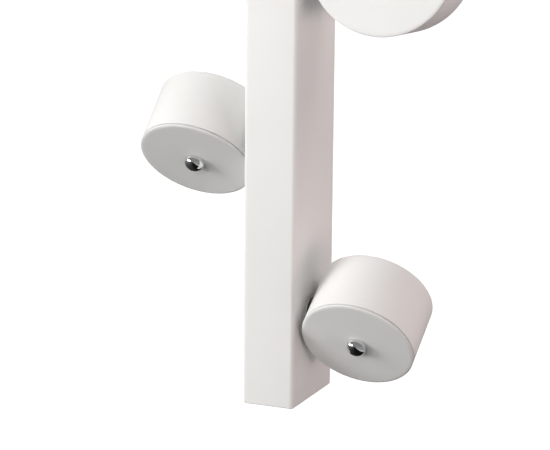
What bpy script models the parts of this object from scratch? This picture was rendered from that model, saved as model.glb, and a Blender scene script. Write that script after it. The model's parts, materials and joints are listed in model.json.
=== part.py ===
"""Wall-hung coat rack: an upright rectangular post with drum-shaped pegs that swivel on its two sides.

Units are metres, +Z is up, the rack faces -Y. The origin is the middle of the lower wall standoff's
back face, so the wall is the plane y = 0. Heights along the post are counted from its lower end.
"""

import math

import bmesh
import bpy
from mathutils import Matrix

# Post: a closed rectangular tube
POST_WIDTH = 0.040
POST_DEPTH = 0.075
POST_HEIGHT = 0.707
POST_WALL = 0.0015
POST_CORNER = 0.003
END_CAP_RECESS = 0.0005
END_CAP_DEPTH = 0.010

# Wall fixing
WALL_GAP = 0.018
STANDOFF_HEIGHTS = {"lower": 0.128, "upper": 0.5535}
STANDOFF_WIDTH = 0.024
STANDOFF_LENGTH = 0.056
STANDOFF_NECK = 0.0037
STANDOFF_HEAD = 0.0065
STANDOFF_HEAD_THICKNESS = 0.0025
STANDOFF_CHAMFER = 0.0006
STANDOFF_END_ROUND = 0.0118
WALL_SCREW_SPREAD = 0.018
WALL_SCREW_RADIUS = 0.0023
COUNTERSINK_DEPTH = 0.0026
KEYHOLE_DROP = 0.014
KEYHOLE_ENTRY = 0.0072

# Swivel line: how far behind the post's front face the pegs turn
PIVOT_SETBACK = 0.032

# Pegs: side (+1 right, -1 left), height, radius, length, and how far the front is tipped down
PEGS = {
    "peg_1": {"side": 1, "height": 0.065, "radius": 0.042, "length": 0.050, "tip_deg": 35.2},
    "peg_2": {"side": -1, "height": 0.191, "radius": 0.042, "length": 0.050, "tip_deg": 43.7},
    "peg_3": {"side": 1, "height": 0.3275, "radius": 0.055, "length": 0.045, "tip_deg": -3.2},
    "peg_4": {"side": -1, "height": 0.478, "radius": 0.055, "length": 0.045, "tip_deg": 20.0},
    "peg_5": {"side": 1, "height": 0.629, "radius": 0.055, "length": 0.045, "tip_deg": 8.0},
}
PEG_GAP = 0.0024
SHELL_WALL = 0.0015
BACK_ROUND = 0.0015
FACE_ROUND = 0.003
FACE_DROP = 0.001
CAP_LIP = 0.0014
CAP_SEAM = 0.0008
CAP_SPIGOT = 0.008
BOSS_RADIUS = 0.007
BOSS_LENGTH = 0.010

# Swivel: the saddle and the inner seat clamp the drum's wall, and slip on the washer and the spring
SADDLE_RADIUS = 0.012
SADDLE_FOOT = 0.0012
SADDLE_TOP = 0.0055
SEAT_RADIUS = 0.009
SEAT_THICKNESS = 0.0025
WASHER_RADIUS = 0.011
WASHER_TOP = 0.001
SPRING_RADIUS = 0.0085
SPRING_HEIGHT = 0.0012
SPRING_PLATE = 0.0006

# Fasteners
THREAD_RADIUS = 0.00295
TAPPED_RADIUS = 0.0032
DOME_RADIUS = 0.0075
DOME_HEIGHT = 0.0066
DOME_FOOT = 0.001
DOME_CROWN = 0.002
SHOULDER_RADIUS = 0.004
SHOULDER_HOLE = 0.0043
SCREW_HEAD_RADIUS = 0.0065
SCREW_HEAD_HEIGHT = 0.0045
SCREW_CHAMFER = 0.0008
SCREW_END = 0.001
HEX_RADIUS = 0.0023
HEX_DEPTH = 0.003
NUT_RADIUS = 0.0075
NUT_LENGTH = 0.008

# Clearance between pieces that touch, and beside the drum's wall, whose facets cut inside its circle
GAP = 0.0003
SLIP = 0.0002
WALL_SLIP = 0.0004

# How far a cutter runs past the surface it opens
OVERCUT = 0.001

DRUM_SEGMENTS = 36
DRUM_CUTTER_SEGMENTS = 60
SMALL_SEGMENTS = 16
STUD_SEGMENTS = 14
CORNER_STEPS = 4
DOME_STEPS = 5
ROUND_STEPS = 2
FACE_STEPS = 3
SHARP_ANGLE = math.radians(35)

QUARTER = math.pi / 2

POST_BACK_Y = -WALL_GAP
POST_MID_Y = POST_BACK_Y - POST_DEPTH / 2
PIVOT_Y = POST_BACK_Y - POST_DEPTH + PIVOT_SETBACK
BASE_Z = -STANDOFF_HEIGHTS["lower"]


def clear_scene():
    for thing in list(bpy.data.objects):
        bpy.data.objects.remove(thing, do_unlink=True)


def new_collection(name):
    collection = bpy.data.collections.new(name)
    bpy.context.scene.collection.children.link(collection)
    return collection


def new_material(name, colour, metallic, roughness):
    material = bpy.data.materials.new(name)
    material.use_nodes = True
    shader = material.node_tree.nodes["Principled BSDF"]
    shader.inputs["Base Color"].default_value = (*colour, 1.0)
    shader.inputs["Metallic"].default_value = metallic
    shader.inputs["Roughness"].default_value = roughness
    return material


clear_scene()
RACK = new_collection("coat_rack")
CUTTERS = new_collection("cutters")
WHITE_PAINT = new_material("white_paint", (0.83, 0.82, 0.80), 0.0, 0.42)
WHITE_PLASTIC = new_material("white_plastic", (0.80, 0.79, 0.77), 0.0, 0.5)
BLACK_PLASTIC = new_material("black_plastic", (0.03, 0.03, 0.032), 0.0, 0.5)
CHROME = new_material("chrome", (0.78, 0.78, 0.79), 1.0, 0.08)
ZINC = new_material("zinc", (0.62, 0.63, 0.65), 1.0, 0.35)
NYLON = new_material("nylon", (0.86, 0.85, 0.80), 0.0, 0.55)


# ---- Placing -------------------------------------------------------------------------------------


def place(name, mesh, parent, location=(0, 0, 0), rotation=(0, 0, 0), material=None):
    """One part; a part with no material is a cutter."""
    thing = bpy.data.objects.new(name, mesh)
    collection = RACK if material else CUTTERS
    collection.objects.link(thing)
    thing.parent = parent
    thing.location = location
    thing.rotation_euler = rotation
    if material:
        mesh.materials.append(material)
    else:
        thing.hide_render = True
        thing.display_type = "WIRE"
    return thing


def new_empty(name, parent=None, location=(0, 0, 0), rotation=(0, 0, 0)):
    empty = bpy.data.objects.new(name, None)
    RACK.objects.link(empty)
    empty.parent = parent
    empty.location = location
    empty.rotation_euler = rotation
    empty.empty_display_size = 0.02
    return empty


def cut(target, tool, operation="DIFFERENCE"):
    modifier = target.modifiers.new(tool.name, "BOOLEAN")
    modifier.operation = operation
    modifier.object = tool
    modifier.solver = "EXACT"


# ---- Shapes --------------------------------------------------------------------------------------


def arc(centre, radius, start_deg, end_deg, steps, height=None):
    """Points on an arc in the (r, z) plane, both ends included; a height makes it part of an ellipse."""
    points = []
    for step in range(steps + 1):
        angle = math.radians(start_deg + (end_deg - start_deg) * step / steps)
        rise = radius if height is None else height
        points.append((centre[0] + radius * math.cos(angle), centre[1] + rise * math.sin(angle)))
    return points


def turned(name, profile, parent, material, segments=SMALL_SEGMENTS, ring=False, **where):
    """A profile of (r, z) points, down the outer side, swept about local Z; a ring is a closed profile."""
    mesh = bpy.data.meshes.new(name)
    count = len(profile)
    edges = [(i, (i + 1) % count) for i in range(count if ring else count - 1)]
    mesh.from_pydata([(r, 0.0, z) for r, z in profile], edges, [])
    thing = place(name, mesh, parent, material=material, **where)
    screw = thing.modifiers.new("turn", "SCREW")
    screw.axis = "Z"
    screw.angle = 2 * math.pi
    screw.steps = segments
    screw.render_steps = segments
    screw.use_merge_vertices = True
    screw.merge_threshold = 0.00001
    screw.use_smooth_shade = True
    return thing


def prism(name, radius, low, high, parent, sides=SMALL_SEGMENTS, material=None, top_radius=None, **where):
    """A cylinder, cone or hexagon from z = low to z = high."""
    shape = bmesh.new()
    bmesh.ops.create_cone(
        shape,
        cap_ends=True,
        segments=sides,
        radius1=radius,
        radius2=radius if top_radius is None else top_radius,
        depth=high - low,
        matrix=Matrix.Translation((0, 0, (low + high) / 2)),
    )
    mesh = bpy.data.meshes.new(name)
    shape.to_mesh(mesh)
    shape.free()
    mesh.shade_smooth()
    mesh.set_sharp_from_angle(angle=SHARP_ANGLE)
    return place(name, mesh, parent, material=material, **where)


def upright_box(name, width, depth, low, high, corner, parent, material=None, open_ends=False, **where):
    """A box with rounded vertical edges; with open ends it is the bare skin of a tube."""
    shape = bmesh.new()
    bmesh.ops.create_cube(shape, size=1.0)
    bmesh.ops.scale(shape, vec=(width, depth, high - low), verts=shape.verts)
    bmesh.ops.translate(shape, vec=(0, 0, (low + high) / 2), verts=shape.verts)
    if open_ends:
        ends = [face for face in shape.faces if abs(face.normal.z) > 0.5]
        bmesh.ops.delete(shape, geom=ends, context="FACES_ONLY")
    upright = [edge for edge in shape.edges if abs(edge.verts[0].co.z - edge.verts[1].co.z) > 0.0001]
    bmesh.ops.bevel(
        shape,
        geom=upright,
        offset=corner,
        offset_type="OFFSET",
        segments=CORNER_STEPS,
        profile=0.5,
        affect="EDGES",
    )
    mesh = bpy.data.meshes.new(name)
    shape.to_mesh(mesh)
    shape.free()
    mesh.shade_smooth()
    mesh.set_sharp_from_angle(angle=SHARP_ANGLE)
    return place(name, mesh, parent, material=material, **where)


# ---- Post ----------------------------------------------------------------------------------------


def make_post(rack):
    tube = upright_box(
        "post_tube",
        POST_WIDTH,
        POST_DEPTH,
        0,
        POST_HEIGHT,
        POST_CORNER,
        rack,
        WHITE_PAINT,
        open_ends=True,
        location=(0, POST_MID_Y, BASE_Z),
    )
    wall = tube.modifiers.new("wall", "SOLIDIFY")
    wall.thickness = POST_WALL
    wall.offset = -1.0
    wall.use_even_offset = True
    for name, peg in PEGS.items():
        hole = prism(
            f"{name}_post_hole_cutter",
            SHOULDER_HOLE,
            -2 * POST_WALL,
            POST_WALL,
            rack,
            location=(peg["side"] * POST_WIDTH / 2, PIVOT_Y, BASE_Z + peg["height"]),
            rotation=(0, peg["side"] * QUARTER, 0),
        )
        cut(tube, hole)
    for name, height in STANDOFF_HEIGHTS.items():
        cut_keyhole(name, tube, rack, BASE_Z + height)


def cut_keyhole(name, tube, rack, z):
    """A round entry below, and a slot up to where the standoff's neck sits."""
    slot_radius = STANDOFF_NECK + GAP
    ends = (("entry", KEYHOLE_ENTRY, z - KEYHOLE_DROP), ("seat", slot_radius, z))
    for end, radius, height in ends:
        hole = prism(
            f"{name}_keyhole_{end}_cutter",
            radius,
            -2 * POST_WALL,
            2 * POST_WALL,
            rack,
            location=(0, POST_BACK_Y, height),
            rotation=(QUARTER, 0, 0),
        )
        cut(tube, hole)
    slot = upright_box(
        f"{name}_keyhole_slot_cutter",
        2 * slot_radius - SLIP,
        4 * POST_WALL,
        -KEYHOLE_DROP,
        0,
        SLIP,
        rack,
        location=(0, POST_BACK_Y, z),
    )
    cut(tube, slot)


def make_end_cap(name, rack, low):
    """A plug that closes one end of the tube, sunk a little below its rim."""
    inset = 2 * (POST_WALL + GAP)
    upright_box(
        name,
        POST_WIDTH - inset,
        POST_DEPTH - inset,
        low,
        low + END_CAP_DEPTH,
        POST_CORNER - POST_WALL,
        rack,
        WHITE_PLASTIC,
        location=(0, POST_MID_Y, BASE_Z),
    )


# ---- Wall fixing ---------------------------------------------------------------------------------


def make_standoff(name, rack, height):
    """A block on the wall, rounded at both ends, with a neck and a head that hook into the keyhole."""
    seat = WALL_GAP - GAP
    head_from = WALL_GAP + POST_WALL + GAP
    head_to = head_from + STANDOFF_HEAD_THICKNESS
    z = BASE_Z + height
    forward = {"rotation": (QUARTER, 0, 0)}
    standoff = upright_box(
        name,
        STANDOFF_WIDTH,
        STANDOFF_LENGTH,
        0.0,
        seat,
        STANDOFF_END_ROUND,
        rack,
        ZINC,
        location=(0, 0, z),
        **forward,
    )
    hook_profile = [
        (0.0, head_to),
        (STANDOFF_HEAD - STANDOFF_CHAMFER, head_to),
        (STANDOFF_HEAD, head_to - STANDOFF_CHAMFER),
        (STANDOFF_HEAD, head_from),
        (STANDOFF_NECK, head_from),
        (STANDOFF_NECK, seat / 2),
        (0.0, seat / 2),
    ]
    hook = turned(f"{name}_hook_tool", hook_profile, rack, None, location=(0, 0, z), **forward)
    cut(standoff, hook, "UNION")
    for end, rise in (("low", -WALL_SCREW_SPREAD), ("high", WALL_SCREW_SPREAD)):
        spot = {"location": (0, 0, z + rise), **forward}
        hole = prism(
            f"{name}_{end}_hole_cutter", WALL_SCREW_RADIUS, -OVERCUT, seat + OVERCUT, rack, **spot
        )
        sink = prism(
            f"{name}_{end}_sink_cutter",
            WALL_SCREW_RADIUS - SLIP,
            seat - COUNTERSINK_DEPTH,
            seat + GAP,
            rack,
            top_radius=WALL_SCREW_RADIUS + COUNTERSINK_DEPTH,
            **spot,
        )
        cut(standoff, hole)
        cut(standoff, sink)


# ---- Pegs ----------------------------------------------------------------------------------------


def make_peg(name, peg, rack):
    radius = peg["radius"]
    side = peg["side"]
    reach = PEG_GAP + radius
    z = BASE_Z + peg["height"]
    axle = new_empty(
        f"{name}_axle",
        rack,
        location=(side * (POST_WIDTH / 2 + reach), PIVOT_Y, z),
        rotation=(math.radians(peg["tip_deg"]), 0, 0),
    )
    make_drum(name, peg, axle)
    make_swivel_seats(name, peg, axle)
    make_swivel_hardware(name, side, rack, z)


def make_drum(name, peg, axle):
    """The hollow drum, its front cap, and the stud and dome nut that hold the cap on."""
    radius = peg["radius"]
    back = -peg["length"] / 2
    front = peg["length"] / 2
    inner = radius - SHELL_WALL
    rim = front - CAP_LIP - CAP_SEAM
    floor = back + SHELL_WALL
    boss_top = floor + BOSS_LENGTH
    forward = {"rotation": (QUARTER, 0, 0)}

    shell_profile = [
        (0.0, floor),
        (TAPPED_RADIUS, floor),
        (TAPPED_RADIUS, boss_top),
        (BOSS_RADIUS, boss_top),
        (BOSS_RADIUS, floor),
        (inner, floor),
        (inner, rim),
        (radius, rim),
        *arc((radius - BACK_ROUND, back + BACK_ROUND), BACK_ROUND, 0, -90, ROUND_STEPS),
        (0.0, back),
    ]
    shell = turned(f"{name}_shell", shell_profile, axle, WHITE_PAINT, DRUM_SEGMENTS, **forward)
    hole = prism(
        f"{name}_shell_hole_cutter",
        SHOULDER_HOLE,
        0.0,
        PEG_GAP + SHELL_WALL + SEAT_THICKNESS,
        axle,
        location=(-peg["side"] * (PEG_GAP + radius), 0, 0),
        rotation=(0, peg["side"] * QUARTER, 0),
    )
    cut(shell, hole)

    spigot = inner - GAP
    cap_profile = [
        (TAPPED_RADIUS + SLIP, front),
        *arc((radius - FACE_ROUND, front - FACE_DROP), FACE_ROUND, 90, 0, FACE_STEPS, FACE_DROP),
        (radius, front - CAP_LIP),
        (spigot, front - CAP_LIP),
        (spigot, front - CAP_SPIGOT),
        (spigot - SHELL_WALL, front - CAP_SPIGOT),
        (spigot - SHELL_WALL, front - SHELL_WALL),
        (TAPPED_RADIUS + SLIP, front - SHELL_WALL),
    ]
    turned(f"{name}_front_cap", cap_profile, axle, WHITE_PAINT, DRUM_SEGMENTS, ring=True, **forward)

    foot = front + SLIP
    bore_top = foot + DOME_FOOT + DOME_HEIGHT - DOME_CROWN
    dome_profile = [
        *arc((0.0, foot + DOME_FOOT), DOME_RADIUS, 90, 0, DOME_STEPS, DOME_HEIGHT),
        (DOME_RADIUS, foot),
        (TAPPED_RADIUS, foot),
        (TAPPED_RADIUS, bore_top),
        (0.0, bore_top),
    ]
    turned(f"{name}_dome_nut", dome_profile, axle, CHROME, **forward)

    stud_profile = [
        (0.0, bore_top - GAP),
        (THREAD_RADIUS, bore_top - GAP),
        (THREAD_RADIUS, floor + GAP),
        (0.0, floor + GAP),
    ]
    turned(f"{name}_cap_stud", stud_profile, axle, ZINC, STUD_SEGMENTS, **forward)


def make_swivel_seats(name, peg, axle):
    """The saddle outside the drum and the seat inside it, each flat on one side and curved on the other."""
    radius = peg["radius"]
    side = peg["side"]
    outward = {
        "location": (-side * (PEG_GAP + radius), 0, 0),
        "rotation": (0, side * QUARTER, 0),
    }
    across = {"rotation": (QUARTER, 0, 0)}

    saddle_profile = [
        (SHOULDER_HOLE, SADDLE_TOP),
        (SADDLE_RADIUS, SADDLE_TOP),
        (SADDLE_RADIUS, SADDLE_FOOT),
        (SHOULDER_HOLE, SADDLE_FOOT),
    ]
    saddle = turned(f"{name}_saddle", saddle_profile, axle, BLACK_PLASTIC, ring=True, **outward)
    reach = peg["length"] / 2
    drum = prism(
        f"{name}_saddle_cutter", radius + SLIP, -reach, reach, axle, DRUM_CUTTER_SEGMENTS, **across
    )
    cut(saddle, drum)

    seat_top = PEG_GAP + SHELL_WALL + SEAT_THICKNESS
    seat_profile = [
        (SHOULDER_HOLE, seat_top),
        (SEAT_RADIUS, seat_top),
        (SEAT_RADIUS, PEG_GAP),
        (SHOULDER_HOLE, PEG_GAP),
    ]
    seat = turned(f"{name}_inner_seat", seat_profile, axle, ZINC, ring=True, **outward)
    inner = radius - SHELL_WALL - WALL_SLIP
    bore = prism(f"{name}_seat_cutter", inner, -reach, reach, axle, DRUM_CUTTER_SEGMENTS, **across)
    cut(seat, bore, "INTERSECT")


def make_swivel_hardware(name, side, rack, z):
    """What stays with the post: friction washer, shoulder screw, disc spring and nut."""
    outward = {
        "location": (side * POST_WIDTH / 2, PIVOT_Y, z),
        "rotation": (0, side * QUARTER, 0),
    }
    washer_profile = [
        (SHOULDER_HOLE, WASHER_TOP),
        (WASHER_RADIUS, WASHER_TOP),
        (WASHER_RADIUS, SLIP),
        (SHOULDER_HOLE, SLIP),
    ]
    turned(f"{name}_friction_washer", washer_profile, rack, NYLON, ring=True, **outward)

    spring_low = PEG_GAP + SHELL_WALL + SEAT_THICKNESS + SLIP
    spring_high = spring_low + SPRING_HEIGHT
    spring_profile = [
        (SHOULDER_HOLE, spring_high),
        (SPRING_RADIUS, spring_high - SPRING_PLATE),
        (SPRING_RADIUS, spring_low),
        (SHOULDER_HOLE, spring_low + SPRING_PLATE),
    ]
    turned(f"{name}_disc_spring", spring_profile, rack, ZINC, ring=True, **outward)

    head_low = spring_high + SLIP
    head_high = head_low + SCREW_HEAD_HEIGHT
    shoulder_end = -POST_WALL - SLIP / 2
    nut_face = -POST_WALL - GAP
    nut_end = nut_face - NUT_LENGTH
    thread_end = nut_end - SCREW_END
    screw_profile = [
        (0.0, head_high),
        (SCREW_HEAD_RADIUS - SCREW_CHAMFER, head_high),
        (SCREW_HEAD_RADIUS, head_high - SCREW_CHAMFER),
        (SCREW_HEAD_RADIUS, head_low),
        (SHOULDER_RADIUS, head_low),
        (SHOULDER_RADIUS, shoulder_end),
        (THREAD_RADIUS, shoulder_end),
        (THREAD_RADIUS, thread_end),
        (0.0, thread_end),
    ]
    screw = turned(f"{name}_swivel_screw", screw_profile, rack, ZINC, **outward)
    socket = prism(
        f"{name}_socket_cutter", HEX_RADIUS, head_high - HEX_DEPTH, head_high + OVERCUT, rack, 6, **outward
    )
    cut(screw, socket)

    nut = prism(f"{name}_pivot_nut", NUT_RADIUS, nut_end, nut_face, rack, 6, ZINC, **outward)
    tapped = prism(
        f"{name}_nut_cutter", TAPPED_RADIUS, nut_end - OVERCUT, nut_face + OVERCUT, rack, **outward
    )
    cut(nut, tapped)


def build():
    rack = new_empty("rack")
    make_post(rack)
    make_end_cap("post_bottom_cap", rack, END_CAP_RECESS)
    make_end_cap("post_top_cap", rack, POST_HEIGHT - END_CAP_RECESS - END_CAP_DEPTH)
    for name, height in STANDOFF_HEIGHTS.items():
        make_standoff(f"wall_standoff_{name}", rack, height)
    for name, peg in PEGS.items():
        make_peg(name, peg, rack)
    bpy.context.view_layer.update()


build()
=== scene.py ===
"""Looks of the coat rack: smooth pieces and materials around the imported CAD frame, floor, light and camera.

Lengths are metres in the frame of the CAD model: +Z up, -Y to the front, the wall at y = 0.
"""

import json
import math

import bmesh
import bpy
from mathutils import Matrix, Vector


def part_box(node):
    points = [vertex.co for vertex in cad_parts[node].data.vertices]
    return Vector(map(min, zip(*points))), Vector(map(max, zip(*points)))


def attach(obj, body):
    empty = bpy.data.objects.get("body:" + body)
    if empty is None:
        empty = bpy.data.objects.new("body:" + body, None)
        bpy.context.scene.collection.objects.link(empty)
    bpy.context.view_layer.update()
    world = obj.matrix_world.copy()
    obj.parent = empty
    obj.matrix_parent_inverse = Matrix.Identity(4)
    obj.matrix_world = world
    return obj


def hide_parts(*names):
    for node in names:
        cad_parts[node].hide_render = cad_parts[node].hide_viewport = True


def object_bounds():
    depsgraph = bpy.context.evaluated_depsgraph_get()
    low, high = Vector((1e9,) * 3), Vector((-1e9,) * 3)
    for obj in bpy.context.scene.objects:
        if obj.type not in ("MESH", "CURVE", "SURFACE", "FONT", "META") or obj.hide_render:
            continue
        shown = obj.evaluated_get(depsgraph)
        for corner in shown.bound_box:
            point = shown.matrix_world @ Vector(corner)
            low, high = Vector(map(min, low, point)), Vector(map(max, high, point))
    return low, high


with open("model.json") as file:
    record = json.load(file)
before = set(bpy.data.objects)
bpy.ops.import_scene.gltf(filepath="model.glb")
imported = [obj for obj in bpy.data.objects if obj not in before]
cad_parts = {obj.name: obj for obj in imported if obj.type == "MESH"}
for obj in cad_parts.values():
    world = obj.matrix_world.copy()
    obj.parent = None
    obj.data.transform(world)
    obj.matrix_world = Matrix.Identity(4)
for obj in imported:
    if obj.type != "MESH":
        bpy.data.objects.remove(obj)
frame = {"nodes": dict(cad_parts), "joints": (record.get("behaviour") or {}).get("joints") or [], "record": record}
CAD_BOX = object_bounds()

# ---- Sizes, in metres; the boxes and the pegs' places come from the frame ------------------------

POST_LOW, POST_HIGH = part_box("post_tube")
POST_CENTRE = (POST_LOW + POST_HIGH) / 2
POST_WALL = 0.0015
POST_CORNER = 0.003
RIM_ROUND = 0.0011
PLUG_ROUND = 0.0004
SLIP = 0.0002
SEAM = 0.0003
OVERCUT = 0.001
TIGHT_CORNER = 0.0002
ON_AXIS = 1e-6

# Holes in the post: one for each peg's screw, and a keyhole for each standoff.
SHOULDER_HOLE = 0.0043
HOLE_REACH = 0.004
KEYHOLE_ENTRY = 0.0072
KEYHOLE_NECK = 0.004
KEYHOLE_DROP = 0.014
KEYHOLE_REACH = 0.005

# Wall standoffs.
HOOK_NECK = 0.0037
HOOK_HEAD = 0.0065
STANDOFF_ROUND = 0.0007
STANDOFF_FOOT_ROUND = 0.0003
WALL_SCREW_SPREAD = 0.018
WALL_SCREW_RADIUS = 0.0023
COUNTERSINK = 0.0026

# A peg's shell and its front cap. The seam between them is 0.3 mm wider here than in the CAD, so
# that it shows as it does in the photo. UNDERCUT deepens it and has to stay below SHELL_WALL.
SHELL_WALL = 0.0015
BACK_ROUND = 0.0015
BOSS_RADIUS = 0.007
BOSS_LENGTH = 0.010
TAPPED_RADIUS = 0.0032
FACE_ROUND = 0.003
FACE_DROP = 0.001
CAP_LIP = 0.0014
CAP_SEAM = 0.0011
CAP_SPIGOT = 0.008
UNDERCUT = 0.0012
EDGE_ROUND = 0.0002
LIP_BEVEL = 0.0001

# A peg's dome nut, saddle and washer.
DOME_RADIUS = 0.0075
DOME_HEIGHT = 0.0066
DOME_FOOT = 0.001
DOME_CROWN = 0.002
PEG_GAP = 0.0024
SADDLE_RADIUS = 0.012
SADDLE_TOP = 0.0055
SADDLE_FOOT = 0.0012
SADDLE_ROUND = 0.0003
SADDLE_CUT_REACH = 0.03
WASHER_RADIUS = 0.011
WASHER_THICKNESS = 0.001
WASHER_ROUND = 0.0002

# Facets round a turned piece, steps in the post's round corners, and the angle that stays sharp.
FACETS_SMALL = 48
FACETS_MEDIUM = 64
FACETS_DOME = 96
FACETS_LARGE = 128
FACETS_SADDLE_CUT = 256
CORNER_STEPS = 8
SHARP_DEGREES = 32

# The part of a noise's range that drives a finish's tone and its gloss.
TONE_RANGE = (0.35, 0.65)
GLOSS_RANGE = (0.3, 0.7)

# Floor: it glows less inside the ring below the rack, fully outside it, and by degrees between.
FLOOR_SIZE = 60
FLOOR_DROP = 0.75
# The dimmer glow below the rack is a painted shadow on the floor.
FLOOR_PAINTED_SHADE_GLOW = 0.45
FLOOR_GLOW_FAR = 1.0
FLOOR_RING = (1.75, 2.15)

# Cards under the rack. A shade is (place from left to right, brightness).
SHADE_CARD_SIZE = 2.6
SHADE_CARD_DROP = 0.7
SHADE_CARD_AHEAD = 1.8
SHADE_CARD_SHADES = [(0.0, 0.0), (1.0, 0.0)]
# The second card glows as a painted reflection, seen only in polished metal and in gloss.
PAINTED_REFLECTION_CARD_SIZE = 30.0
PAINTED_REFLECTION_CARD_DROP = 0.4
# Its shades from left to right: grey, black under the rack, a thin bright strip as a painted glint, mid grey.
PAINTED_REFLECTION_SHADES = [
    (-2.0, 0.16),
    (-0.3, 0.03),
    (0.0, 0.003),
    (0.45, 0.003),
    (0.47, 0.8),
    (0.56, 0.8),
    (0.6, 0.3),
    (2.0, 0.3),
]
CARD_REACH = 2.0

# Lamps: compass direction and height in degrees from the post's middle, distance, width and
# height, power, colour, and whether polished metal mirrors the lamp.
WORLD_COLOUR = (1.0, 0.99, 0.98)
WORLD_STRENGTH = 0.25
LAMPS = {
    "key": (-50, 20, 4.5, 1.6, 1.6, 75, (1.0, 0.99, 0.985), False),
    "low_key": (-50, 5, 4.5, 3.6, 0.8, 90, (1.0, 0.98, 0.975), True),
    "front": (0, 20, 4.5, 1.6, 1.6, 54, (0.99, 1.0, 0.975), False),
    "high_side": (105, 50, 3.0, 1.6, 1.6, 18, (1.0, 0.868, 0.855), False),
    "low_side": (85, -20, 3.0, 1.6, 1.6, 36, (1.0, 0.73, 0.715), False),
}

# Camera: compass direction, height and roll in degrees, and the point that it looks at.
CAMERA_AZIMUTH = 22.94
CAMERA_ELEVATION = 12.68
CAMERA_ROLL = 0.52
CAMERA_DISTANCE = 1.7103
CAMERA_AIM = Vector((0.0048, POST_LOW.y, POST_LOW.z + 0.1354))
CAMERA_LENS = 157.1
CAMERA_SENSOR = 36
CAMERA_CLIP_END = 200

QUARTER = math.pi / 2
FORWARD = Matrix.Rotation(QUARTER, 4, "X")


def peg_facts(joint):
    """Pivot, side, radius, axis and half length of a peg; its cap stud lies along its axis."""
    name = joint["child"]
    pivot = Vector(joint["pos_m"])
    low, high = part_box(f"{name}_shell")
    stud_low, stud_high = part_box(f"{name}_cap_stud")
    ahead = (stud_low + stud_high) / 2 - pivot
    axis = Vector((0.0, ahead.y, ahead.z)).normalized()
    cap = frame["nodes"][f"{name}_front_cap"].data.vertices
    reach = max((vertex.co - pivot).dot(axis) for vertex in cap)
    return {
        "pivot": pivot,
        "side": 1 if pivot.x > 0 else -1,
        "radius": (high.x - low.x) / 2,
        "axis": axis,
        "half": reach,
    }


def peg_frame(facts):
    """Matrix with local Z along the peg's axis, local X level and the origin at the pivot."""
    axis = facts["axis"]
    level = Vector((1.0, 0.0, 0.0))
    third = axis.cross(level)
    turn = Matrix((level, third, axis)).transposed().to_4x4()
    return Matrix.Translation(facts["pivot"]) @ turn


# ---- Mesh helpers --------------------------------------------------------------------------------


def arc(centre, radius, start_deg, end_deg, steps, height=None):
    """Points on an arc, both ends included; a height makes it part of an ellipse."""
    rise = radius if height is None else height
    points = []
    for step in range(steps + 1):
        angle = math.radians(start_deg + (end_deg - start_deg) * step / steps)
        points.append((centre[0] + radius * math.cos(angle), centre[1] + rise * math.sin(angle)))
    return points


def link(name, mesh, material, body=None, nodes=()):
    """Put a piece in the scene; a piece of the part also gets its body and slot, and the CAD nodes it stands in
    for are hidden.
    """
    thing = bpy.data.objects.new(name, mesh)
    bpy.context.scene.collection.objects.link(thing)
    mesh.materials.append(material)
    if body:
        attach(thing, body)
    if nodes:
        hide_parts(*nodes)
    return thing


def smooth(mesh):
    mesh.shade_smooth()
    mesh.set_sharp_from_angle(angle=math.radians(SHARP_DEGREES))


def turned_mesh(name, profile, matrix, segments=FACETS_LARGE, ring=False):
    """A profile of (r, z) points swept about local Z; with ring, its last point joins its first."""
    shape = bmesh.new()
    rings = []
    for r, z in profile:
        if r < ON_AXIS:
            rings.append([shape.verts.new((0, 0, z))])
            continue
        turn = [2 * math.pi * k / segments for k in range(segments)]
        rings.append([shape.verts.new((r * math.cos(a), r * math.sin(a), z)) for a in turn])
    pairs = list(zip(rings, rings[1:]))
    if ring:
        pairs.append((rings[-1], rings[0]))
    for upper, lower in pairs:
        for k in range(segments):
            after = (k + 1) % segments
            corners = [upper[k % len(upper)], lower[k % len(lower)]]
            corners += [lower[after % len(lower)], upper[after % len(upper)]]
            unique = list(dict.fromkeys(corners))
            if len(unique) > 2:
                shape.faces.new(unique)
    shape.transform(matrix)
    bmesh.ops.recalc_face_normals(shape, faces=shape.faces)
    mesh = bpy.data.meshes.new(name)
    shape.to_mesh(mesh)
    shape.free()
    smooth(mesh)
    return mesh


def rounded_outline(width, depth, corner):
    """Points round a rectangle with round corners, anticlockwise."""
    points = []
    corners = ((1, 1, 0), (-1, 1, 90), (-1, -1, 180), (1, -1, 270))
    for x, y, start in corners:
        centre = (x * (width / 2 - corner), y * (depth / 2 - corner))
        points += arc(centre, corner, start, start + 90, CORNER_STEPS)
    return points


def tube_mesh(name, width, depth, corner, stations, centre, ring=True):
    """Outlines of a rounded rectangle joined in turn; a station is (inset, z).

    With ring the last outline joins the first, otherwise both are closed."""
    shape = bmesh.new()
    rings = []
    for inset, z in stations:
        tight = max(corner - inset, TIGHT_CORNER)
        outline = rounded_outline(width - 2 * inset, depth - 2 * inset, tight)
        rings.append([shape.verts.new((x, y, z)) for x, y in outline])
    pairs = list(zip(rings, rings[1:]))
    if ring:
        pairs.append((rings[-1], rings[0]))
    for lower, upper in pairs:
        count = len(lower)
        for k in range(count):
            after = (k + 1) % count
            shape.faces.new((lower[k], lower[after], upper[after], upper[k]))
    if not ring:
        shape.faces.new(rings[0])
        shape.faces.new(rings[-1])
    shape.transform(Matrix.Translation(centre))
    bmesh.ops.recalc_face_normals(shape, faces=shape.faces)
    mesh = bpy.data.meshes.new(name)
    shape.to_mesh(mesh)
    shape.free()
    smooth(mesh)
    return mesh


def cutter(name, radius, start, end):
    """A cylinder between two points, for cutting."""
    start, end = Vector(start), Vector(end)
    away = end - start
    turn = away.to_track_quat("Z", "Y").to_matrix().to_4x4()
    profile = [(0, away.length), (radius, away.length), (radius, 0), (0, 0)]
    return tool_from(turned_mesh(name, profile, Matrix.Translation(start) @ turn, FACETS_SMALL))


def tool_from(mesh):
    return bpy.data.objects.new(mesh.name, mesh)


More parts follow.
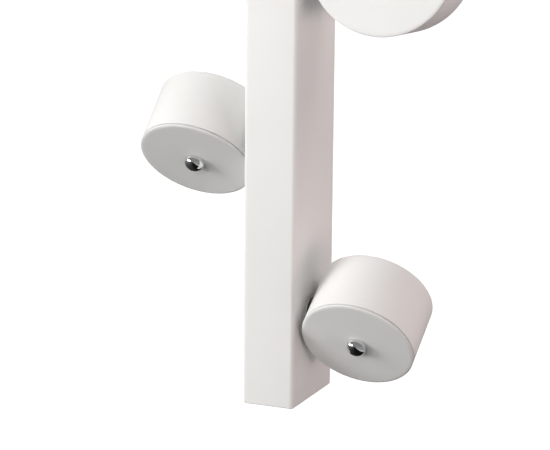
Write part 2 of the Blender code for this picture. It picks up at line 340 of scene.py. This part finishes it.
def carve(mesh, tools, operation="DIFFERENCE"):
    """The mesh with the tools cut away, or joined to it with UNION, as a new mesh."""
    target = bpy.data.objects.new("carving", mesh)
    collection = bpy.context.scene.collection
    collection.objects.link(target)
    for tool in tools:
        collection.objects.link(tool)
        modifier = target.modifiers.new(tool.name, "BOOLEAN")
        modifier.object = tool
        modifier.operation = operation
        modifier.solver = "EXACT"
    bpy.context.view_layer.update()
    graph = bpy.context.evaluated_depsgraph_get()
    carved = bpy.data.meshes.new_from_object(target.evaluated_get(graph))
    for thing in [target, *tools]:
        bpy.data.objects.remove(thing)
    carved.materials.clear()
    smooth(carved)
    return carved


# ---- Materials -----------------------------------------------------------------------------------


class Look:
    """A Principled material with helpers for the few nodes that these finishes use."""

    def __init__(self, name, colour, metallic, roughness, specular=0.5):
        self.material = bpy.data.materials.new(name)
        self.material.use_nodes = True
        self.nodes = self.material.node_tree.nodes
        self.links = self.material.node_tree.links
        self.shader = self.nodes["Principled BSDF"]
        self.shader.inputs["Base Color"].default_value = (*colour, 1)
        self.shader.inputs["Metallic"].default_value = metallic
        self.shader.inputs["Roughness"].default_value = roughness
        self.shader.inputs["Specular IOR Level"].default_value = specular
        place = self.nodes.new("ShaderNodeTexCoord")
        self.place = place.outputs["Object"]

    def noise(self, scale, detail):
        node = self.nodes.new("ShaderNodeTexNoise")
        node.inputs["Scale"].default_value = scale
        node.inputs["Detail"].default_value = detail
        self.links.new(self.place, node.inputs["Vector"])
        return node.outputs["Fac"]

    def colours(self, value, first, second):
        node = self.nodes.new("ShaderNodeValToRGB")
        node.color_ramp.elements[0].position = TONE_RANGE[0]
        node.color_ramp.elements[0].color = (*first, 1)
        node.color_ramp.elements[1].position = TONE_RANGE[1]
        node.color_ramp.elements[1].color = (*second, 1)
        self.links.new(value, node.inputs["Fac"])
        self.links.new(node.outputs["Color"], self.shader.inputs["Base Color"])

    def roughness(self, value, low, high):
        node = self.nodes.new("ShaderNodeMapRange")
        node.inputs["From Min"].default_value = GLOSS_RANGE[0]
        node.inputs["From Max"].default_value = GLOSS_RANGE[1]
        node.inputs["To Min"].default_value = low
        node.inputs["To Max"].default_value = high
        self.links.new(value, node.inputs["Value"])
        self.links.new(node.outputs["Result"], self.shader.inputs["Roughness"])

    def bump(self, value, depth, strength):
        node = self.nodes.new("ShaderNodeBump")
        node.inputs["Strength"].default_value = strength
        node.inputs["Distance"].default_value = depth
        self.links.new(value, node.inputs["Height"])
        last = self.shader.inputs["Normal"]
        if last.is_linked:
            self.links.new(last.links[0].from_socket, node.inputs["Normal"])
        self.links.new(node.outputs["Normal"], last)


def powder_coat(name, first, second, roughness):
    """Satin powder coat: a slow drift of tone, a fine orange peel and a grain in the gloss."""
    look = Look(name, first, 0.0, roughness, specular=0.42)
    look.colours(look.noise(14, 3.0), first, second)
    look.roughness(look.noise(420, 3.0), roughness - 0.05, roughness + 0.05)
    look.bump(look.noise(650, 2.0), 0.00003, 0.5)
    look.bump(look.noise(2600, 1.0), 0.000008, 0.4)
    return look.material


def polished_chrome():
    look = Look("dome_chrome", (0.80, 0.80, 0.81), 1.0, 0.05)
    look.roughness(look.noise(300, 3.0), 0.035, 0.085)
    look.bump(look.noise(500, 1.0), 0.000004, 0.5)
    return look.material


def plated_steel():
    look = Look("zinc_steel", (0.62, 0.63, 0.65), 1.0, 0.32)
    look.colours(look.noise(240, 4.0), (0.52, 0.53, 0.56), (0.68, 0.68, 0.69))
    look.roughness(look.noise(700, 3.0), 0.24, 0.42)
    look.bump(look.noise(1500, 2.0), 0.00001, 0.5)
    return look.material


def turned_aluminium():
    look = Look("standoff_metal", (0.74, 0.74, 0.75), 1.0, 0.34)
    look.colours(look.noise(160, 3.0), (0.68, 0.68, 0.70), (0.78, 0.78, 0.78))
    look.roughness(look.noise(900, 3.0), 0.26, 0.42)
    look.bump(look.noise(1800, 2.0), 0.000012, 0.5)
    return look.material


def moulded_plastic(name, first, second, roughness):
    look = Look(name, first, 0.0, roughness, specular=0.4)
    look.colours(look.noise(30, 3.0), first, second)
    look.roughness(look.noise(900, 2.0), roughness - 0.06, roughness + 0.06)
    look.bump(look.noise(1700, 3.0), 0.00003, 0.6)
    return look.material


LOOKS = {
    "post_paint": powder_coat("post_paint", (0.84, 0.835, 0.82), (0.86, 0.855, 0.845), 0.42),
    "drum_paint": powder_coat("drum_paint", (0.84, 0.835, 0.82), (0.86, 0.855, 0.845), 0.40),
    "cap_paint": powder_coat("cap_paint", (0.84, 0.84, 0.825), (0.855, 0.855, 0.845), 0.38),
    "dome_chrome": polished_chrome(),
    "zinc_steel": plated_steel(),
    "standoff_metal": turned_aluminium(),
    "white_plastic": moulded_plastic("white_plastic", (0.78, 0.77, 0.75), (0.82, 0.81, 0.79), 0.5),
    # The saddle's black is partly its own colour and partly painted shade for the dark gap between drum and post.
    "black_plastic": moulded_plastic("black_plastic", (0.028, 0.028, 0.03), (0.036, 0.036, 0.038), 0.5),
    "nylon": moulded_plastic("nylon", (0.82, 0.81, 0.75), (0.86, 0.85, 0.80), 0.5),
}


def finish_cad_nodes():
    """Give every CAD node the finish of its material slot."""
    slots = {part["node"]: part["material_slot"] for part in frame["record"]["subparts"]}
    for name, node in frame["nodes"].items():
        node.data.materials.clear()
        node.data.materials.append(LOOKS[slots[name]])


# ---- Post and wall fixing ------------------------------------------------------------------------


def make_post():
    """The tube, with a soft rim at each end, a hole for each peg's screw and a keyhole per standoff."""
    size = POST_HIGH - POST_LOW
    base = Vector((POST_CENTRE.x, POST_CENTRE.y, POST_LOW.z))
    height = size.z
    quarter = arc((RIM_ROUND, height - RIM_ROUND), RIM_ROUND, 180, 90, 4)
    stations = [(0.0, RIM_ROUND)]
    stations += quarter
    stations += [(POST_WALL, height), (POST_WALL, 0.0)]
    stations += [(inset, height - z) for inset, z in reversed(quarter[1:])]
    mesh = tube_mesh("post_skin", size.x, size.y, POST_CORNER, stations, base)
    tools = []
    for name, facts in PEGS.items():
        pivot = facts["pivot"]
        face = facts["side"] * size.x / 2
        reach = facts["side"] * HOLE_REACH
        inside = (face - reach, pivot.y, pivot.z)
        outside = (face + reach, pivot.y, pivot.z)
        tools.append(cutter(f"{name}_hole", SHOULDER_HOLE, inside, outside))
    for standoff in STANDOFFS:
        low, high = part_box(standoff)
        tools += keyhole_tools(standoff, (low.z + high.z) / 2)
    mesh = carve(mesh, tools)
    link("post_skin", mesh, LOOKS["post_paint"], "post", ["post_tube"])


def keyhole_tools(name, z):
    """A round entry, and a slot above it that ends round the standoff's neck."""
    front = POST_HIGH.y - KEYHOLE_REACH
    back = POST_HIGH.y + KEYHOLE_REACH
    low = z - KEYHOLE_DROP
    entry = cutter(f"{name}_entry", KEYHOLE_ENTRY, (0, front, low), (0, back, low))
    seat = cutter(f"{name}_seat", KEYHOLE_NECK, (0, front, z), (0, back, z))
    width = 2 * KEYHOLE_NECK - SLIP
    stations = [(0, 0), (0, KEYHOLE_DROP)]
    middle = Vector((0, POST_HIGH.y, low))
    depth = 2 * KEYHOLE_REACH
    slot = tube_mesh(f"{name}_slot", width, depth, TIGHT_CORNER, stations, middle, ring=False)
    return [entry, seat, tool_from(slot)]


def make_end_plugs():
    """Plugs with soft edges that close the tube's two ends."""
    for node in ("post_bottom_cap", "post_top_cap"):
        low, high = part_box(node)
        size = high - low
        quarter = arc((PLUG_ROUND, size.z - PLUG_ROUND), PLUG_ROUND, 180, 90, 3)
        stations = [(inset, size.z - z) for inset, z in reversed(quarter)] + quarter
        base = Vector(((low.x + high.x) / 2, (low.y + high.y) / 2, low.z))
        corner = POST_CORNER - POST_WALL
        mesh = tube_mesh(f"{node}_plug", size.x, size.y, corner, stations, base, ring=False)
        link(f"{node}_plug", mesh, LOOKS["white_plastic"], "post", [node])


def make_standoffs():
    """A block against the wall with two countersunk holes, and a headed stud for the keyhole."""
    for node in STANDOFFS:
        low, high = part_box(node)
        middle = (low + high) / 2
        place = Matrix.Translation((0, 0, middle.z)) @ FORWARD
        seat = -POST_HIGH.y - SEAM
        soft = STANDOFF_ROUND
        width = high.x - low.x
        ends = [(inset, seat - z) for inset, z in arc((soft, soft), soft, 270, 180, 5)]
        stations = [(STANDOFF_FOOT_ROUND, 0.0), (0.0, STANDOFF_FOOT_ROUND), *reversed(ends)]
        block = tube_mesh(f"{node}_block", width, high.z - low.z, width / 2, stations, Vector(), False)
        block.transform(place)
        head = seat + SEAM + POST_WALL + SEAM
        top = high.y - low.y
        hook = [
            (0, top),
            *arc((HOOK_HEAD - soft, top - soft), soft, 90, 0, 4),
            (HOOK_HEAD, head),
            (HOOK_NECK, head),
            (HOOK_NECK, seat / 2),
            (0, seat / 2),
        ]
        hook_mesh = turned_mesh(f"{node}_hook", hook, place, FACETS_MEDIUM)
        joined = carve(block, [tool_from(hook_mesh)], "UNION")
        tools = []
        for rise in (-WALL_SCREW_SPREAD, WALL_SCREW_SPREAD):
            spot = Matrix.Translation((0, 0, middle.z + rise)) @ FORWARD
            sink = [
                (0, seat + OVERCUT),
                (WALL_SCREW_RADIUS + COUNTERSINK + OVERCUT, seat + OVERCUT),
                (WALL_SCREW_RADIUS, seat - COUNTERSINK),
                (WALL_SCREW_RADIUS, -OVERCUT),
                (0, -OVERCUT),
            ]
            tools.append(tool_from(turned_mesh(f"{node}_sink", sink, spot, FACETS_SMALL)))
        mesh = carve(joined, tools)
        link(f"{node}_boss", mesh, LOOKS["standoff_metal"], "post", [node])


# ---- Pegs ----------------------------------------------------------------------------------------


def make_peg(name, facts):
    place = peg_frame(facts)
    make_drum(name, facts, place)
    make_face(name, facts, place)
    make_finial(name, facts, place)
    make_saddle(name, facts, place)
    make_washer(name, facts)


def make_drum(name, facts, place):
    """The hollow shell, with a tapped boss for the cap's stud and a hole towards the post."""
    radius = facts["radius"]
    back = -facts["half"]
    rim = facts["half"] - CAP_LIP - CAP_SEAM
    floor = back + SHELL_WALL
    inner = radius - SHELL_WALL
    shell = [
        (0, floor),
        (TAPPED_RADIUS, floor),
        (TAPPED_RADIUS, floor + BOSS_LENGTH),
        (BOSS_RADIUS, floor + BOSS_LENGTH),
        (BOSS_RADIUS, floor),
        (inner, floor),
        (inner, rim),
        *arc((radius - EDGE_ROUND, rim - EDGE_ROUND), EDGE_ROUND, 90, 0, 4),
        *arc((radius - BACK_ROUND, back + BACK_ROUND), BACK_ROUND, 0, -90, 8),
        (0, back),
    ]
    mesh = turned_mesh(f"{name}_drum", shell, place)
    outside = place @ Vector((-facts["side"] * (radius + OVERCUT), 0, 0))
    inside = place @ Vector((-facts["side"] * (radius - HOLE_REACH), 0, 0))
    mesh = carve(mesh, [cutter(f"{name}_hole", SHOULDER_HOLE, outside, inside)])
    link(f"{name}_drum", mesh, LOOKS["drum_paint"], name, [f"{name}_shell"])


def make_face(name, facts, place):
    """The front cap: a dished plate with a soft edge and a spigot inside the shell."""
    radius = facts["radius"]
    half = facts["half"]
    spigot = radius - SHELL_WALL - SEAM
    lip = half - CAP_LIP
    cap = [
        (TAPPED_RADIUS + SLIP, half),
        *arc((radius - FACE_ROUND, half - FACE_DROP), FACE_ROUND, 90, 0, 14, FACE_DROP),
        (radius - LIP_BEVEL, lip + LIP_BEVEL),
        (radius - EDGE_ROUND, lip),
        (spigot - UNDERCUT, lip),
        (spigot - UNDERCUT, lip - CAP_SEAM),
        (spigot, lip - CAP_SEAM),
        (spigot, half - CAP_SPIGOT),
        (spigot - SHELL_WALL, half - CAP_SPIGOT),
        (spigot - SHELL_WALL, half - SHELL_WALL),
        (TAPPED_RADIUS + SLIP, half - SHELL_WALL),
    ]
    mesh = turned_mesh(f"{name}_face", cap, place, ring=True)
    link(f"{name}_face", mesh, LOOKS["cap_paint"], name, [f"{name}_front_cap"])


def make_finial(name, facts, place):
    """The dome nut, with a blind bore for the stud."""
    foot = facts["half"] + SLIP
    bore_top = foot + DOME_FOOT + DOME_HEIGHT - DOME_CROWN
    dome = [
        *arc((0, foot + DOME_FOOT), DOME_RADIUS, 90, 0, 24, DOME_HEIGHT),
        (DOME_RADIUS - EDGE_ROUND, foot),
        (TAPPED_RADIUS, foot),
        (TAPPED_RADIUS, bore_top),
        (0, bore_top),
    ]
    mesh = turned_mesh(f"{name}_finial", dome, place, FACETS_DOME)
    link(f"{name}_finial", mesh, LOOKS["dome_chrome"], name, [f"{name}_dome_nut"])


def make_saddle(name, facts, place):
    """Flat towards the post, hollowed to the drum's curve."""
    side = facts["side"]
    outward = Matrix.Rotation(side * QUARTER, 4, "Y")
    start = Matrix.Translation((-side * (PEG_GAP + facts["radius"]), 0, 0))
    soft = SADDLE_ROUND
    profile = [
        (SHOULDER_HOLE, SADDLE_TOP),
        (SADDLE_RADIUS, SADDLE_TOP),
        *arc((SADDLE_RADIUS - soft, SADDLE_FOOT + soft), soft, 0, -90, 3),
        (SHOULDER_HOLE, SADDLE_FOOT),
    ]
    pad = turned_mesh(f"{name}_saddle_pad", profile, place @ start @ outward, FACETS_MEDIUM, ring=True)
    clear = facts["radius"] + SLIP
    reach = SADDLE_CUT_REACH
    drum = [(0, reach), (clear, reach), (clear, -reach), (0, -reach)]
    mesh = carve(pad, [tool_from(turned_mesh(f"{name}_round", drum, place, FACETS_SADDLE_CUT))])
    # Black saddle: its colour also paints the shade in the gap between drum and post.
    link(f"{name}_saddle_pad", mesh, LOOKS["black_plastic"], name, [f"{name}_saddle"])


def make_washer(name, facts):
    """The nylon washer that stays on the post's side wall."""
    pivot = facts["pivot"]
    face = Matrix.Translation((facts["side"] * POST_HIGH.x, pivot.y, pivot.z))
    soft = WASHER_ROUND
    profile = [
        (SHOULDER_HOLE, WASHER_THICKNESS),
        *arc((WASHER_RADIUS - soft, WASHER_THICKNESS - soft), soft, 90, 0, 3),
        *arc((WASHER_RADIUS - soft, SLIP + soft), soft, 0, -90, 3),
        (SHOULDER_HOLE, SLIP),
    ]
    place = face @ Matrix.Rotation(facts["side"] * QUARTER, 4, "Y")
    mesh = turned_mesh(f"{name}_slip_washer", profile, place, FACETS_MEDIUM, ring=True)
    link(f"{name}_slip_washer", mesh, LOOKS["nylon"], "post", [f"{name}_friction_washer"])


# ---- Stage ---------------------------------------------------------------------------------------


def flat_sheet(name, size, place):
    """A level square, half a side long in size, with a plain matt material; returns it and the shader."""
    shape = bmesh.new()
    bmesh.ops.create_grid(shape, x_segments=1, y_segments=1, size=size)
    mesh = bpy.data.meshes.new(name)
    shape.to_mesh(mesh)
    shape.free()
    material = bpy.data.materials.new(name)
    material.use_nodes = True
    sheet = link(name, mesh, material)
    sheet.location = place
    return sheet, material.node_tree.nodes["Principled BSDF"]


def make_floor():
    """A plain glowing floor, bright away from the object and greyer below it as a painted shadow."""
    place = (POST_CENTRE.x, POST_CENTRE.y, CAD_BOX[0].z - FLOOR_DROP)
    floor, shader = flat_sheet("floor", FLOOR_SIZE, place)
    nodes = shader.id_data.nodes
    links = shader.id_data.links
    shader.inputs["Base Color"].default_value = (0.6, 0.6, 0.6, 1)
    shader.inputs["Roughness"].default_value = 0.9
    shader.inputs["Specular IOR Level"].default_value = 0.1
    shader.inputs["Emission Color"].default_value = (1, 1, 1, 1)
    where = nodes.new("ShaderNodeTexCoord")
    away = nodes.new("ShaderNodeVectorMath")
    away.operation = "LENGTH"
    links.new(where.outputs["Object"], away.inputs[0])
    glow = nodes.new("ShaderNodeMapRange")
    glow.interpolation_type = "SMOOTHSTEP"
    glow.inputs["From Min"].default_value = FLOOR_RING[0]
    glow.inputs["From Max"].default_value = FLOOR_RING[1]
    # Painted shadow: the floor glows less below the rack.
    glow.inputs["To Min"].default_value = FLOOR_PAINTED_SHADE_GLOW
    glow.inputs["To Max"].default_value = FLOOR_GLOW_FAR
    links.new(away.outputs["Value"], glow.inputs["Value"])
    links.new(glow.outputs["Result"], shader.inputs["Emission Strength"])


def make_card(name, size, place, shades):
    """A black card under the rack, unseen by the camera, for painted shade and reflections; it glows in shades
    from its left to its right side.
    """
    card, shader = flat_sheet(name, size, place)
    nodes = shader.id_data.nodes
    links = shader.id_data.links
    shader.inputs["Base Color"].default_value = (0.005, 0.005, 0.005, 1)
    shader.inputs["Roughness"].default_value = 1.0
    shader.inputs["Specular IOR Level"].default_value = 0.0
    shader.inputs["Emission Strength"].default_value = 1.0
    where = nodes.new("ShaderNodeTexCoord")
    parts = nodes.new("ShaderNodeSeparateXYZ")
    across = nodes.new("ShaderNodeMapRange")
    across.inputs["From Min"].default_value = -CARD_REACH
    across.inputs["From Max"].default_value = CARD_REACH
    ramp = nodes.new("ShaderNodeValToRGB")
    stops = ramp.color_ramp.elements
    while len(stops) < len(shades):
        stops.new(0.5)
    for stop, (x, shade) in zip(stops, shades):
        stop.position = (x + CARD_REACH) / (2 * CARD_REACH)
        stop.color = (shade, shade, shade, 1)
    links.new(where.outputs["Object"], parts.inputs[0])
    links.new(parts.outputs["X"], across.inputs["Value"])
    links.new(across.outputs["Result"], ramp.inputs["Fac"])
    links.new(ramp.outputs["Color"], shader.inputs["Emission Color"])
    card.visible_camera = False
    card.visible_shadow = False
    return card


def make_cards():
    """One black card darkens the undersides as painted shade; the other is a painted reflection, only seen in
    polished metal and in gloss.
    """
    bottom = CAD_BOX[0].z
    shading = (0.0, -SHADE_CARD_AHEAD, bottom - SHADE_CARD_DROP)
    card = make_card("shade_card", SHADE_CARD_SIZE, shading, SHADE_CARD_SHADES)
    card.visible_glossy = False
    # A painted reflection with a bright strip as a painted glint, seen only in polished metal and gloss.
    mirrored = (0.0, 0.0, bottom - PAINTED_REFLECTION_CARD_DROP)
    card = make_card("painted_reflection_card", PAINTED_REFLECTION_CARD_SIZE, mirrored, PAINTED_REFLECTION_SHADES)
    card.visible_diffuse = False


def make_world(colour, strength):
    world = bpy.data.worlds.new("studio")
    world.use_nodes = True
    world.node_tree.nodes["Background"].inputs["Color"].default_value = (*colour, 1)
    world.node_tree.nodes["Background"].inputs["Strength"].default_value = strength
    bpy.context.scene.world = world


def compass(azimuth, elevation):
    """Unit vector towards a compass direction and height in degrees; 0, 0 is level and to the front."""
    azimuth, elevation = math.radians(azimuth), math.radians(elevation)
    return Vector(
        (
            math.sin(azimuth) * math.cos(elevation),
            -math.cos(azimuth) * math.cos(elevation),
            math.sin(elevation),
        )
    )


def softbox(name, azimuth, elevation, distance, width, height, power, colour, mirrored):
    """A rectangular lamp that faces the post's middle."""
    ray = compass(azimuth, elevation)
    light = bpy.data.lights.new(name, "AREA")
    light.shape = "RECTANGLE"
    light.size = width
    light.size_y = height
    light.energy = power
    light.color = colour
    lamp = bpy.data.objects.new(name, light)
    bpy.context.scene.collection.objects.link(lamp)
    lamp.location = POST_CENTRE + ray * distance
    lamp.rotation_euler = ray.to_track_quat("Z", "Y").to_euler()
    lamp.visible_camera = False
    lamp.visible_glossy = mirrored


def make_camera():
    """The photograph's viewing angle: from the front right and a little above."""
    data = bpy.data.cameras.new("camera")
    data.sensor_width = CAMERA_SENSOR
    data.lens = CAMERA_LENS
    data.clip_end = CAMERA_CLIP_END
    camera = bpy.data.objects.new("camera", data)
    bpy.context.scene.collection.objects.link(camera)
    back = compass(CAMERA_AZIMUTH, CAMERA_ELEVATION)
    roll = Matrix.Rotation(math.radians(CAMERA_ROLL), 3, "Z").to_quaternion()
    turn = back.to_track_quat("Z", "Y") @ roll
    place = Matrix.Translation(CAMERA_AIM + back * CAMERA_DISTANCE)
    camera.matrix_world = place @ turn.to_matrix().to_4x4()
    bpy.context.scene.camera = camera


# ---- Putting it together -------------------------------------------------------------------------

STANDOFFS = [node for node in frame["nodes"] if node.startswith("wall_standoff")]
PEGS = {joint["child"]: peg_facts(joint) for joint in frame["joints"]}

finish_cad_nodes()
make_post()
make_end_plugs()
make_standoffs()
for peg_name, peg_fact in PEGS.items():
    make_peg(peg_name, peg_fact)

make_floor()
make_cards()
make_world(WORLD_COLOUR, WORLD_STRENGTH)
for lamp_name, lamp_facts in LAMPS.items():
    softbox(lamp_name, *lamp_facts)
make_camera()
bpy.context.scene.view_settings.view_transform = "Standard"
